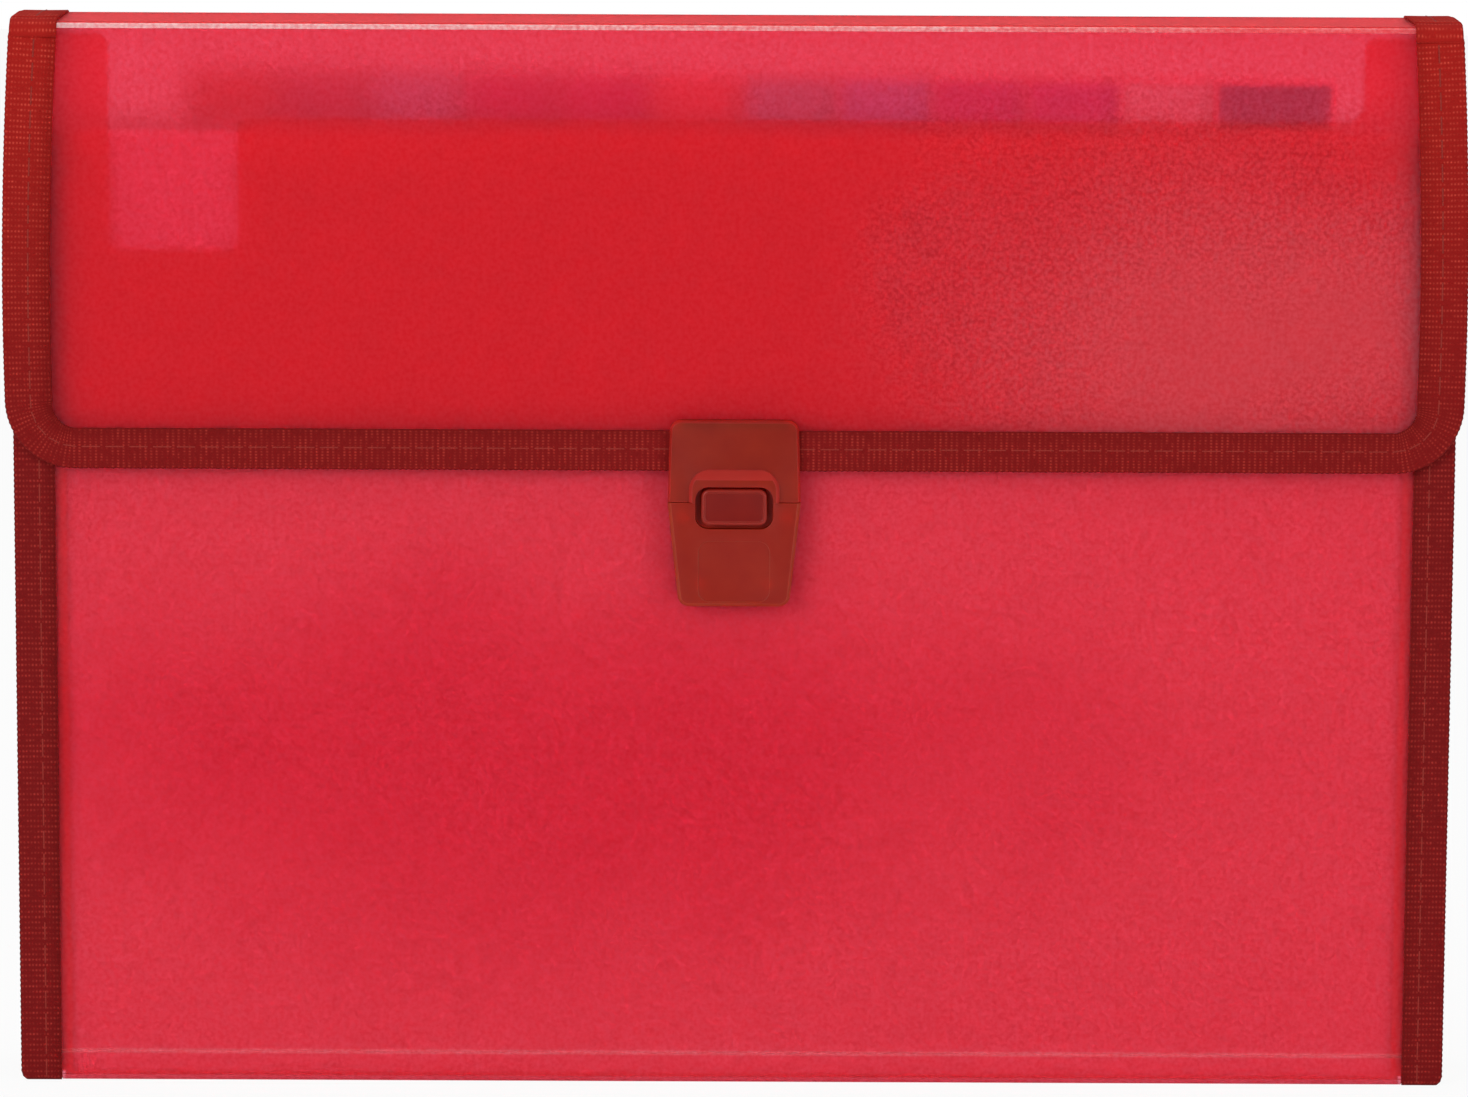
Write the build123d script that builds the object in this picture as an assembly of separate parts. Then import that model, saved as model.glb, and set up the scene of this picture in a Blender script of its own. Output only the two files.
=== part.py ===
from build123d import *
import math
import os

# Expanding document file for A4 sheets laid landscape: a creased lid over a die-cut front panel,
# tape-bound edges, twelve tabbed dividers between side pleats, and a moulded push-button clasp.
# Millimetres. +X is right, -Y is the front, +Z is up, and the file stands on z = 0.

# Driving dimensions of the cover
body_height = 244.1
body_width = 326.8
lid_inset = 0.4
flap_bulge = 2.0
flap_low_bulge = 1.5
flap_drop = 100.9
flap_bulge_share = 0.55
sheet = 0.8
crease_radius = 1.4
crease_film = 0.3
base_side_gap = 0.6

# Driving dimensions of the pockets
pocket_count = 13
pocket_gap = 1.6
divider_thick = 0.4
divider_inset = 9.9
divider_drop = 25.1
divider_corner = 3.0
tab_width = 28.0
tab_drop = 12.1
tab_corner = 2.5
tab_left_margin = 27.0
tab_right_margin = 18.0
label_thick = 0.15
label_margin = 1.5
pleat_film = 0.25
pleat_lap = 1.5
pleat_edge_gap = 1.5
pleat_clear = 0.05
floor_film = 0.3
floor_ridge = 0.8
floor_seat = 0.5
fold_clear = 0.02

# Driving dimensions of the woven binding
tape_thick = 0.5
panel_tape_width = 9.1
lid_tape_width = 10.5
flap_tape_low_width = 9.0
flap_corner_outer = 15.0
flap_corner_inner = 5.5
tape_floor_gap = 0.3

# Driving dimensions of the front panel's die-cut top
lid_gap = 2.2
ear_drop = 2.8
left_ear_width = 22.0
right_ear_width = 22.0
cut_drop = 21.7
notch_width = 29.2
notch_drop = 51.7
ear_corner = 2.5
cut_corner = 4.5
notch_corner = 2.7
score_height = 7.0
score_width = 0.8
score_depth = 0.3

# Driving dimensions of the clasp
hasp_thick = 2.3
hasp_top_width = 29.1
hasp_seam_width = 30.2
hasp_above_edge = 11.6
seam_below_edge = 7.0
hasp_corner = 2.5
hasp_bevel = 1.0
arch_proud = 1.6
arch_wall = 1.35
arch_crown = 3.8
brow_height = 2.2
brow_depth = 1.1
arch_corner = 4.5
window_corner = 3.0
button_width = 14.9
button_height = 8.2
button_corner = 1.8
button_below_seam = 1.0
button_side_gap = 1.4
button_top_gap = 0.55
button_low_gap = 1.1
button_rim = 0.8
button_dish = 0.35
button_travel = 1.6
guide_clear = 0.15
guide_wall = 1.0
flange_thick = 0.7
flange_reach = 1.3
chamber_clear = 0.4
catch_drop = 24.0
catch_low_width = 25.0
catch_corner = 2.6
catch_bevel = 0.7
catch_panel_width = 16.2
catch_panel_height = 13.9
catch_panel_rise = 1.1
catch_panel_depth = 0.35
seam_gap = 0.2
landing_width = 26.0
landing_gap = 0.2
landing_top_gap = 0.7
backing_thick = 0.8
backing_inset = 1.2
post_radius = 1.3
post_clear = 0.05
hasp_post_inset = 4.0
hasp_post_rise = 6.0
catch_post_inset = 3.3
catch_post_drop = 4.2
catch_foot_inset = 4.7
catch_foot_rise = 4.6
spring_thick = 0.25
spring_length = 15.0
spring_width = 5.0

# Places worked out from the rear face forwards
divider_count = pocket_count - 1
body_depth = 2 * sheet + pocket_count * pocket_gap + divider_count * divider_thick
whole_depth = tape_thick + body_depth + lid_gap + sheet + tape_thick + hasp_thick + arch_proud
rear = whole_depth / 2 - tape_thick
back_inner = rear - sheet
front_face = rear - body_depth
front_inner = front_face + sheet
flap_rear = front_face - lid_gap
flap_front = flap_rear - sheet
hasp_rear = flap_front - tape_thick
hasp_front = hasp_rear - hasp_thick
arch_front = hasp_front - arch_proud
button_front = hasp_front - button_travel

# Places worked out from the floor upwards
lid_top = body_height
panel_top = lid_top - crease_radius
ear_top = lid_top - ear_drop
flap_bottom = lid_top - flap_drop
divider_top = lid_top - divider_drop
tab_top = lid_top - tab_drop
floor_top = sheet + floor_film
divider_pivot = floor_top + divider_thick / 2 + fold_clear
seam = flap_bottom - seam_below_edge

# Half widths across the file
body_half = body_width / 2
body_sheet_half = body_half - tape_thick
lid_half = body_half - lid_inset
lid_sheet_half = lid_half - tape_thick
base_half = body_half - panel_tape_width - base_side_gap
divider_half = body_half - divider_inset
cut_left = left_ear_width - body_half
cut_right = body_half - right_ear_width
pleat_reach = body_sheet_half - pleat_edge_gap

# Pivots: a crease turns about the middle of its arc, and the lid about the corner of its binding
crease_mid = crease_radius * (1 - math.sqrt(0.5))
front_crease_pivot = (flap_front + crease_mid, lid_top - crease_mid)
bottom_crease_pivot = (front_face + crease_mid, crease_mid)
rear_crease_pivot = (rear + tape_thick + fold_clear, lid_top + tape_thick + fold_clear)


def divider_y(number):
    """Mid-plane of a divider, counted from the back."""
    return back_inner - number * pocket_gap - (number - 0.5) * divider_thick


def box(x_low, x_high, y_low, y_high):
    """A rectangle from its limits, on the plane in use."""
    centre = Pos((x_low + x_high) / 2, (y_low + y_high) / 2)
    return centre * Rectangle(x_high - x_low, y_high - y_low)


def facing(shape, y_low, y_high):
    """A shape drawn in X and Z, made solid between two depths."""
    return extrude(Plane.XZ.offset(-y_high) * shape, amount=y_high - y_low)


def across(shape, x_low, x_high):
    """A section drawn in Y and Z, made solid between two places along X."""
    return extrude(Plane.YZ.offset(x_low) * shape, amount=x_high - x_low)


def upright(shape, z_low, z_high):
    """A plan drawn in X and Y, made solid between two heights."""
    return extrude(Plane.XY.offset(z_low) * shape, amount=z_high - z_low)


def corners_at(shape, places):
    """The corners of a flat shape at the given places."""
    near = 0.01
    return [
        corner
        for corner in shape.vertices()
        if any(abs(corner.X - x) < near and abs(corner.Y - y) < near for x, y in places)
    ]


def rounded(shape, places, radius):
    """A flat shape with the corners at those places rounded."""
    return fillet(corners_at(shape, places), radius)


def polygon(points):
    """A flat shape with straight sides."""
    return make_face(Polyline(*points, close=True))


def both_sides(solid):
    """A solid and its mirror image on the other side of the file, as one group."""
    return Compound(children=[solid.solid(), mirror(solid, Plane.YZ).solid()])


def posts(spread, height, y_low, y_high, radius):
    """Two round posts along the depth, one each side of the middle."""
    circles = Pos(spread, height) * Circle(radius) + Pos(-spread, height) * Circle(radius)
    return facing(circles, y_low, y_high)


def quarter(centre, outer, inner, y_side, z_side):
    """A quarter ring in Y and Z, on one side of its centre each way."""
    y, z = centre
    ring = Circle(outer)
    if inner > 0:
        ring = ring - Circle(inner)
    quadrant = Pos(y_side * outer / 2, z_side * outer / 2) * Rectangle(outer, outer)
    return Pos(y, z) * (ring & quadrant)


# Cover sheets
def back_panel():
    outline = box(-body_sheet_half, body_sheet_half, crease_radius, panel_top)
    return facing(outline, back_inner, rear)


def base_panel():
    flat = box(front_face + crease_radius, rear - crease_radius, 0, sheet)
    bend = quarter((rear - crease_radius, crease_radius), crease_radius, crease_radius - sheet, 1, -1)
    return across(flat + bend, -base_half, base_half)


def pocket_floor():
    """Pleated film on the base: one ridge in each pocket, and a flat seat under each divider."""
    first = rear - crease_radius
    last = front_face + crease_radius
    seats = [divider_y(number) for number in range(1, divider_count + 1)]
    starts = [first] + [seat - floor_seat / 2 for seat in seats]
    ends = [seat + floor_seat / 2 for seat in seats] + [last]
    top = []
    bottom = []
    for start, end in zip(starts, ends):
        ridge = (start + end) / 2
        top += [(start, floor_top), (ridge, floor_top + floor_ridge), (end, floor_top)]
        bottom += [(start, sheet), (ridge, sheet + floor_ridge), (end, sheet)]
    return across(polygon(top + bottom[::-1]), -base_half, base_half)


def top_strip():
    section = box(flap_front + crease_radius, rear - crease_radius, lid_top - sheet, lid_top)
    return across(section, -lid_sheet_half, lid_sheet_half)


def flap_outline(side_inset, low_inset, corner):
    """The flap's outline: sides that swell a little, and two rounded lower corners."""
    top_half = lid_half - side_inset
    middle_half = lid_half + flap_bulge - side_inset
    low_half = lid_half + flap_low_bulge - side_inset
    low = flap_bottom + low_inset
    middle = flap_bottom + flap_bulge_share * (panel_top - flap_bottom)
    right = ThreePointArc((top_half, panel_top), (middle_half, middle), (low_half, low))
    left = ThreePointArc((-low_half, low), (-middle_half, middle), (-top_half, panel_top))
    bottom = Line((low_half, low), (-low_half, low))
    top = Line((-top_half, panel_top), (top_half, panel_top))
    outline = make_face([right, bottom, left, top])
    return rounded(outline, [(low_half, low), (-low_half, low)], corner)


def hasp_post_height():
    return flap_bottom + hasp_post_rise


def flap_sheet():
    outline = flap_outline(tape_thick, tape_thick, flap_corner_outer - tape_thick)
    holes = posts(
        hasp_post_spread, hasp_post_height(), flap_front, flap_rear, post_radius + post_clear
    )
    return facing(outline, flap_front, flap_rear) - holes


def flap_tape():
    """Binding folded round three sides of the flap, open along its inner edge."""
    outer = flap_outline(0, 0, flap_corner_outer)
    inner = flap_outline(lid_tape_width, flap_tape_low_width, flap_corner_inner)
    band = facing(outer - inner, flap_front - tape_thick, flap_rear + tape_thick)
    core = facing(
        flap_outline(tape_thick, tape_thick, flap_corner_outer - tape_thick), flap_front, flap_rear
    )
    holes = posts(
        hasp_post_spread,
        hasp_post_height(),
        flap_front - tape_thick,
        flap_rear + tape_thick,
        post_radius + post_clear,
    )
    return band - core - holes


def front_panel_outline():
    """Two ears, a wide cut-out between them and a deeper finger notch at the left."""
    cut_floor = lid_top - cut_drop
    notch_floor = lid_top - notch_drop
    notch_right = cut_left + notch_width
    points = [
        (-body_sheet_half, crease_radius),
        (body_sheet_half, crease_radius),
        (body_sheet_half, ear_top),
        (cut_right, ear_top),
        (cut_right, cut_floor),
        (notch_right, cut_floor),
        (notch_right, notch_floor),
        (cut_left, notch_floor),
        (cut_left, ear_top),
        (-body_sheet_half, ear_top),
    ]
    outline = polygon(points)
    outline = rounded(outline, [(cut_right, ear_top), (cut_left, ear_top)], ear_corner)
    outline = rounded(outline, [(cut_right, cut_floor)], cut_corner)
    lower = [(notch_right, cut_floor), (notch_right, notch_floor), (cut_left, notch_floor)]
    return rounded(outline, lower, notch_corner)


def front_panel():
    """The die-cut front sheet, with a scored line near its foot and the clasp's holes."""
    panel = facing(front_panel_outline(), front_face, front_inner)
    score = polygon(
        [
            (front_face, score_height - score_width / 2),
            (front_face, score_height + score_width / 2),
            (front_face + score_depth, score_height),
        ]
    )
    panel = panel - across(score, -body_sheet_half, body_sheet_half)
    panel = panel - facing(button_chamber(), front_face, front_inner)
    return panel - catch_posts(front_face, front_inner, post_radius + post_clear)


# Live hinges: thin arcs of film where the sheet is creased
def rear_crease():
    centre = (rear - crease_radius, lid_top - crease_radius)
    arc = quarter(centre, crease_radius, crease_radius - crease_film, 1, 1)
    return across(arc, -lid_sheet_half, lid_sheet_half)


def front_crease():
    centre = (flap_front + crease_radius, lid_top - crease_radius)
    arc = quarter(centre, crease_radius, crease_radius - crease_film, -1, 1)
    return across(arc, -lid_sheet_half, lid_sheet_half)


def bottom_crease():
    centre = (front_face + crease_radius, crease_radius)
    arc = quarter(centre, crease_radius, crease_radius - crease_film, -1, -1)
    return across(arc, -base_half, base_half)


# Woven binding
def panel_tape(y_low, y_high, top):
    """Binding folded round one side edge of an upright panel, from near the floor to its top."""
    inner_edge = body_half - panel_tape_width
    fold = box(inner_edge, body_half, y_low - tape_thick, y_high + tape_thick)
    slot = box(inner_edge, body_sheet_half, y_low, y_high)
    return upright(fold - slot, tape_floor_gap, top)


def strip_tapes():
    inner_edge = lid_half - lid_tape_width
    low = flap_front + crease_radius
    high = rear - crease_radius
    fold = box(inner_edge, lid_half, lid_top - sheet - tape_thick, lid_top + tape_thick)
    slot = box(inner_edge, lid_sheet_half, lid_top - sheet, lid_top)
    return both_sides(facing(fold - slot, low, high))


def corner_tapes(centre, y_side):
    """Binding turned over one end of the lid's creases, left and right."""
    inner_edge = lid_half - lid_tape_width
    outer = crease_radius + tape_thick
    layer = across(quarter(centre, outer, crease_radius, y_side, 1), inner_edge, lid_half)
    edge = across(quarter(centre, outer, 0, y_side, 1), lid_sheet_half, lid_half)
    return both_sides(layer + edge)


# Pockets
def tab_left(number):
    """Left end of a divider's index tab: the tabs step from left at the back to right at the front."""
    first = tab_left_margin - divider_half
    last = divider_half - tab_right_margin - tab_width
    return first + (number - 1) * (last - first) / max(divider_count - 1, 1)


def divider(number):
    """A pocket sheet with its index tab, and a rounded fold along its foot."""
    y = divider_y(number)
    left = tab_left(number)
    right = left + tab_width
    plate = box(-divider_half, divider_half, divider_pivot, divider_top)
    plate = rounded(
        plate, [(-divider_half, divider_top), (divider_half, divider_top)], divider_corner
    )
    tab = box(left, right, divider_top - tab_corner, tab_top)
    tab = rounded(tab, [(left, tab_top), (right, tab_top)], tab_corner)
    sheet_part = facing(plate + tab, y - divider_thick / 2, y + divider_thick / 2)
    fold = across(Pos(y, divider_pivot) * Circle(divider_thick / 2), -divider_half, divider_half)
    return sheet_part + fold


def tab_label(number):
    """Coloured insert on the front of a tab."""
    face = divider_y(number) - divider_thick / 2
    left = tab_left(number) + label_margin
    right = tab_left(number) + tab_width - label_margin
    outline = box(left, right, divider_top + label_margin, tab_top - label_margin)
    return facing(outline, face - label_thick, face)


def pleats(number):
    """One outward fold of film at each end of a pocket, between its two sheets."""
    back = back_inner - tape_thick if number == 1 else divider_y(number - 1) - divider_thick / 2
    front = front_inner + tape_thick if number == pocket_count else divider_y(number) + divider_thick / 2
    back -= pleat_clear
    front += pleat_clear
    root = divider_half - pleat_lap
    middle = (back + front) / 2
    depth = pleat_reach - root
    inner_tip = pleat_reach - depth * pleat_film / ((back - front) / 2)
    plan = polygon(
        [
            (root, back),
            (pleat_reach, middle),
            (root, front),
            (root, front + pleat_film),
            (inner_tip, middle),
            (root, back - pleat_film),
        ]
    )
    return both_sides(upright(plan, floor_top + floor_ridge, divider_top))


# Clasp
button_centre = seam - button_below_seam
button_top = button_centre + button_height / 2
button_low = button_centre - button_height / 2
window_half = button_width / 2 + button_side_gap
window_top = button_top + button_top_gap
window_low = button_low - button_low_gap
landing_front = hasp_rear + landing_gap
guide_rear = landing_front + guide_wall
flange_rear = guide_rear + flange_thick
catch_top = seam - seam_gap
catch_low = seam - catch_drop
landing_top = flap_bottom - landing_top_gap
hasp_post_spread = hasp_top_width / 2 - hasp_post_inset
catch_post_spread = hasp_seam_width / 2 - catch_post_inset
catch_foot_spread = catch_low_width / 2 - catch_foot_inset


def button_shape(grow):
    return Pos(0, button_centre) * RectangleRounded(
        button_width + 2 * grow, button_height + 2 * grow, button_corner + grow
    )


def button_chamber():
    """Room for the button's flange and spring, in the catch and through the front panel."""
    return button_shape(flange_reach + chamber_clear)


def front_edges(solid, depth):
    """The edges of a moulding that lie flat at one depth."""
    near = 0.01
    return [
        edge
        for edge in solid.edges()
        if abs(edge.bounding_box().min.Y - depth) < near
        and abs(edge.bounding_box().max.Y - depth) < near
    ]


def hasp_plate():
    """The clasp's upper half: a bevelled plate, an arch round the button and two moulded posts."""
    top = flap_bottom + hasp_above_edge
    top_half = hasp_top_width / 2
    low_half = hasp_seam_width / 2
    outline = polygon([(-low_half, seam), (low_half, seam), (top_half, top), (-top_half, top)])
    outline = rounded(outline, [(top_half, top), (-top_half, top)], hasp_corner)
    plate = facing(outline, hasp_front, hasp_rear)
    rim = [edge for edge in front_edges(plate, hasp_front) if edge.center().Z > seam + seam_gap]
    plate = chamfer(rim, hasp_bevel, hasp_bevel / 2)
    tape_edge = flap_bottom + flap_tape_low_width + seam_gap
    lip_half = top_half - hasp_corner
    lip = facing(box(-lip_half, lip_half, tape_edge, top), hasp_rear, flap_front)
    arch_half = window_half + arch_wall
    arch_top = window_top + arch_crown
    arch = box(-arch_half, arch_half, seam, arch_top)
    arch = rounded(arch, [(arch_half, arch_top), (-arch_half, arch_top)], arch_corner)
    arch = facing(arch, arch_front, hasp_rear)
    brow = [edge for edge in front_edges(arch, arch_front) if edge.center().Z > seam + seam_gap]
    arch = chamfer(brow, arch_wall / 2)
    slope = polygon(
        [
            (arch_front, arch_top - brow_height),
            (arch_front, arch_top + brow_depth),
            (arch_front + 2 * brow_depth, arch_top + brow_height),
        ]
    )
    arch = arch - across(slope, -arch_half, arch_half)
    window = box(-window_half, window_half, seam - window_corner, window_top)
    window = rounded(window, [(window_half, window_top), (-window_half, window_top)], window_corner)
    pins = posts(
        hasp_post_spread, hasp_post_height(), hasp_rear, flap_rear + tape_thick + backing_thick, post_radius
    )
    return plate + lip + arch + pins - facing(window, arch_front, hasp_rear)


def hasp_backing():
    """Flat plate inside the flap that the hasp's posts are headed over."""
    low = flap_bottom + backing_inset
    top = flap_bottom + hasp_above_edge - backing_inset
    half = hasp_top_width / 2 - backing_inset
    outline = box(-half, half, low, top)
    outline = rounded(outline, [(x, z) for x in (-half, half) for z in (low, top)], hasp_corner)
    front = flap_rear + tape_thick
    holes = posts(
        hasp_post_spread, hasp_post_height(), front, front + backing_thick, post_radius + post_clear
    )
    return facing(outline, front, front + backing_thick) - holes


def catch_posts(y_low, y_high, radius):
    """The catch's four moulded posts, two beside the button and two near the foot."""
    upper = posts(catch_post_spread, seam - catch_post_drop, y_low, y_high, radius)
    lower = posts(catch_foot_spread, catch_low + catch_foot_rise, y_low, y_high, radius)
    return upper + lower


def catch_body():
    """The clasp's lower half: a tapered housing with the button's recess, guide and chamber."""
    low_half = catch_low_width / 2
    top_half = hasp_seam_width / 2
    outline = polygon(
        [(-low_half, catch_low), (low_half, catch_low), (top_half, catch_top), (-top_half, catch_top)]
    )
    outline = rounded(outline, [(low_half, catch_low), (-low_half, catch_low)], catch_corner)
    housing = facing(outline, hasp_front, front_face)
    edges = front_edges(housing, hasp_front)
    housing = chamfer([e for e in edges if e.center().Z < catch_top - seam_gap], catch_bevel)
    landing_half = landing_width / 2
    landing = box(-landing_half, landing_half, catch_top, landing_top)
    housing = housing + facing(landing, landing_front, front_face)
    recess = box(-window_half, window_half, window_low, catch_top + window_corner)
    recess = rounded(recess, [(window_half, window_low), (-window_half, window_low)], window_corner)
    housing = housing - facing(recess, hasp_front, landing_front)
    housing = housing - facing(button_shape(guide_clear), landing_front, guide_rear)
    housing = housing - facing(button_chamber(), guide_rear, front_face)
    panel_middle = catch_low + catch_panel_rise + catch_panel_height / 2
    panel = Pos(0, panel_middle) * RectangleRounded(catch_panel_width, catch_panel_height, catch_corner)
    housing = housing - facing(panel, hasp_front, hasp_front + catch_panel_depth)
    return housing + catch_posts(front_face, front_inner + backing_thick, post_radius)


def catch_backing():
    """Plate inside the front panel that closes the button's chamber."""
    low_half = catch_low_width / 2 - backing_inset
    top_half = landing_width / 2
    low = catch_low + backing_inset
    outline = polygon([(-low_half, low), (low_half, low), (top_half, landing_top), (-top_half, landing_top)])
    outline = rounded(outline, [(low_half, low), (-low_half, low)], catch_corner)
    plate = facing(outline, front_inner, front_inner + backing_thick)
    return plate - catch_posts(front_inner, front_inner + backing_thick, post_radius + post_clear)


def push_button():
    """Rounded button with a raised rim, and a flange behind the guide that keeps it in."""
    head = facing(button_shape(0), button_front, guide_rear)
    head = chamfer(front_edges(head, button_front), button_rim / 2)
    dish = facing(button_shape(-button_rim), button_front, button_front + button_dish)
    flange = facing(button_shape(flange_reach), guide_rear, flange_rear)
    return head - dish + flange


def button_spring():
    """Bowed leaf between the button's flange and the backing plate."""
    half = spring_length / 2
    crown = flange_rear
    ends = front_inner - spring_thick
    front = ThreePointArc((-half, ends), (0, crown), (half, ends))
    back = ThreePointArc((half, ends + spring_thick), (0, crown + spring_thick), (-half, ends + spring_thick))
    sides = [Line(front @ 1, back @ 0), Line(back @ 1, front @ 0)]
    plan = make_face([front, sides[0], back, sides[1]])
    return upright(plan, button_centre - spring_width / 2, button_centre + spring_width / 2)


# Every piece by name
pieces = {
    "back_panel": back_panel(),
    "base_panel": base_panel(),
    "pocket_floor": pocket_floor(),
    "top_strip": top_strip(),
    "flap_sheet": flap_sheet(),
    "front_panel": front_panel(),
    "rear_crease_film": rear_crease(),
    "front_crease_film": front_crease(),
    "bottom_crease_film": bottom_crease(),
    "flap_tape": flap_tape(),
    "strip_tapes": strip_tapes(),
    "rear_corner_tapes": corner_tapes((rear - crease_radius, lid_top - crease_radius), 1),
    "front_corner_tapes": corner_tapes((flap_front + crease_radius, lid_top - crease_radius), -1),
    "hasp_plate": hasp_plate(),
    "hasp_backing": hasp_backing(),
    "catch_body": catch_body(),
    "catch_backing": catch_backing(),
    "push_button": push_button(),
    "button_spring": button_spring(),
}
front_binding = panel_tape(front_face, front_inner, ear_top)
back_binding = panel_tape(back_inner, rear, panel_top)
pieces["front_tape_right"] = front_binding
pieces["front_tape_left"] = mirror(front_binding, Plane.YZ)
pieces["back_tape_right"] = back_binding
pieces["back_tape_left"] = mirror(back_binding, Plane.YZ)
for number in range(1, divider_count + 1):
    pieces[f"divider_{number:02d}"] = divider(number)
    pieces[f"tab_label_{number:02d}"] = tab_label(number)
for number in range(1, pocket_count + 1):
    pieces[f"side_pleats_{number:02d}"] = pleats(number)

os.makedirs("parts", exist_ok=True)
for name, piece in pieces.items():
    export_step(piece, f"parts/{name}.step")
print("pieces:", len(pieces))
print("body depth:", round(body_depth, 2), "whole depth:", round(whole_depth, 2))
for crease, (y, z) in {
    "rear crease": rear_crease_pivot,
    "front crease": front_crease_pivot,
    "bottom crease": bottom_crease_pivot,
}.items():
    print(crease, "turns about y", round(y, 3), "z", round(z, 3))
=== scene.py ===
# %% [markdown]
# # An expanding document file, cell by cell
# The real thing is a closed file for landscape A4 papers: creased sheets of frosted red plastic,
# edges bound with sewn ribbed tape, twelve tabbed dividers inside, and a push-button clasp.
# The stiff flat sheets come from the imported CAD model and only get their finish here. The
# cloth, the creases, the film pleats and the small mouldings are modelled over it, because
# their softness is what the eye reads first.
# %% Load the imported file
import math

import bpy
from mathutils import Matrix, Vector


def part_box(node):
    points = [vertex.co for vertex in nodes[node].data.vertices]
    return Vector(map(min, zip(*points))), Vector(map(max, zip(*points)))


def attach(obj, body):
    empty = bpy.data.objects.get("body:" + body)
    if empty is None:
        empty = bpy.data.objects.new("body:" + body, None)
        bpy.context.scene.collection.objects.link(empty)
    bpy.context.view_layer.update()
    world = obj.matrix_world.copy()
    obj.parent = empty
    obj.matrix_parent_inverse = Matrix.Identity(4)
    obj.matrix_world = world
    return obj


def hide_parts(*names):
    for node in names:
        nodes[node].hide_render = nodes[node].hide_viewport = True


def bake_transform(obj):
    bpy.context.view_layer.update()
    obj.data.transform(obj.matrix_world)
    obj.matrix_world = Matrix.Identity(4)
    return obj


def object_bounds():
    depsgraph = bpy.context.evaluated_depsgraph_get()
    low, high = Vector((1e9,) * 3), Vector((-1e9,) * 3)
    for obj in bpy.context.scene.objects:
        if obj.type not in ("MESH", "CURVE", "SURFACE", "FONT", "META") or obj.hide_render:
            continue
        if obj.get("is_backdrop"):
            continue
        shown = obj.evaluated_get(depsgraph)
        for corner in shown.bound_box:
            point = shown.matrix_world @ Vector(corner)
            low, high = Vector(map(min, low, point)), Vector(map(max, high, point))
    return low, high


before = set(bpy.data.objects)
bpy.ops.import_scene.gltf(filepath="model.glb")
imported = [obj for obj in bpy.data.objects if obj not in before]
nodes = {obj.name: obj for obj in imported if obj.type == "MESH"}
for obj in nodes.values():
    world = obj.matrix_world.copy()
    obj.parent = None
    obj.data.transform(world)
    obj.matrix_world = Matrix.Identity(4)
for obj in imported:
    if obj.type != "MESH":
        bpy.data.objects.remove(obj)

cad_low, cad_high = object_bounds()
cad_size_mm = [round(1000 * side, 1) for side in cad_high - cad_low]
print("CAD nodes:", len(nodes), "size in mm:", cad_size_mm)

# %% [markdown]
# ## Camera
# The file was photographed from the front with a long lens, a little above its upper edge, so
# that a narrow band of the lid's top shows. A long lens far away keeps the edges nearly
# parallel. The picture hangs a quarter of a degree to the right, and the camera repeats that.
# %% Place the camera
mm = 0.001
camera_distance = 1.5
camera_height = 0.362
camera_pitch = math.radians(9.05)
camera_roll = math.radians(0.25)
sensor_width = 36.0
focal_pixels = 6631.0
picture_width = 1468
furthest_seen = 50.0

bpy.ops.object.camera_add(location=(0, 0, 0))
camera = bpy.context.object
camera.name = "product_camera"
camera.data.sensor_width = sensor_width
camera.data.lens = focal_pixels / picture_width * sensor_width
camera.data.clip_end = furthest_seen
camera.matrix_world = (
    Matrix.Translation((0, -camera_distance, camera_height))
    @ Matrix.Rotation(math.pi / 2 - camera_pitch, 4, "X")
    @ Matrix.Rotation(camera_roll, 4, "Z")
)
bpy.context.scene.camera = camera
print("lens in mm:", round(camera.data.lens, 1))

# %% [markdown]
# ## Helpers for materials
# Colours are written as web hex values, which are sRGB, and shaders want linear light, so one
# function converts them. Another adds a node, sets it up and wires it in one call.
# %% Colour and node helpers
def linear(hex_colour):
    """An sRGB hex colour as linear red, green, blue and alpha."""
    parts = [int(hex_colour[place : place + 2], 16) / 255 for place in (1, 3, 5)]
    light = [
        part / 12.92 if part <= 0.04045 else ((part + 0.055) / 1.055) ** 2.4 for part in parts
    ]
    return (*light, 1.0)


def add_node(tree, kind, inputs=None, **settings):
    """A new node with its settings, and each input set to a value or linked to an output."""
    made = tree.nodes.new(kind)
    for name, value in settings.items():
        setattr(made, name, value)
    for name, value in (inputs or {}).items():
        if isinstance(value, bpy.types.NodeSocket):
            tree.links.new(value, made.inputs[name])
        else:
            made.inputs[name].default_value = value
    return made


def new_material(name):
    """An empty node material and its tree."""
    material = bpy.data.materials.new(name)
    material.use_nodes = True
    material.node_tree.nodes.clear()
    return material, material.node_tree


def per_metre(size_in_mm):
    """The texture scale that makes a pattern repeat about every so many millimetres."""
    return 1.0 / (size_in_mm * mm)


print("mid grey in linear light:", round(linear("#808080")[0], 3))

# %% [markdown]
# ## Studio
# The file stands on white paper under soft boxes, and the paper runs out to plain white. The
# paper is a real lit surface, so it keeps the file's shadow. For what the camera sees directly,
# or through the plastic, it is mixed with plain white, which leaves the shadow faint.
# %% White paper
paper_side = 6.0
paper_whitening = 0.93


def seen_directly(tree):
    """One for what the camera sees directly or through the plastic, and zero otherwise."""
    path = add_node(tree, "ShaderNodeLightPath")
    either = add_node(
        tree,
        "ShaderNodeMath",
        {0: path.outputs["Is Camera Ray"], 1: path.outputs["Is Transmission Ray"]},
        operation="MAXIMUM",
    )
    return either.outputs[0]


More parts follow.
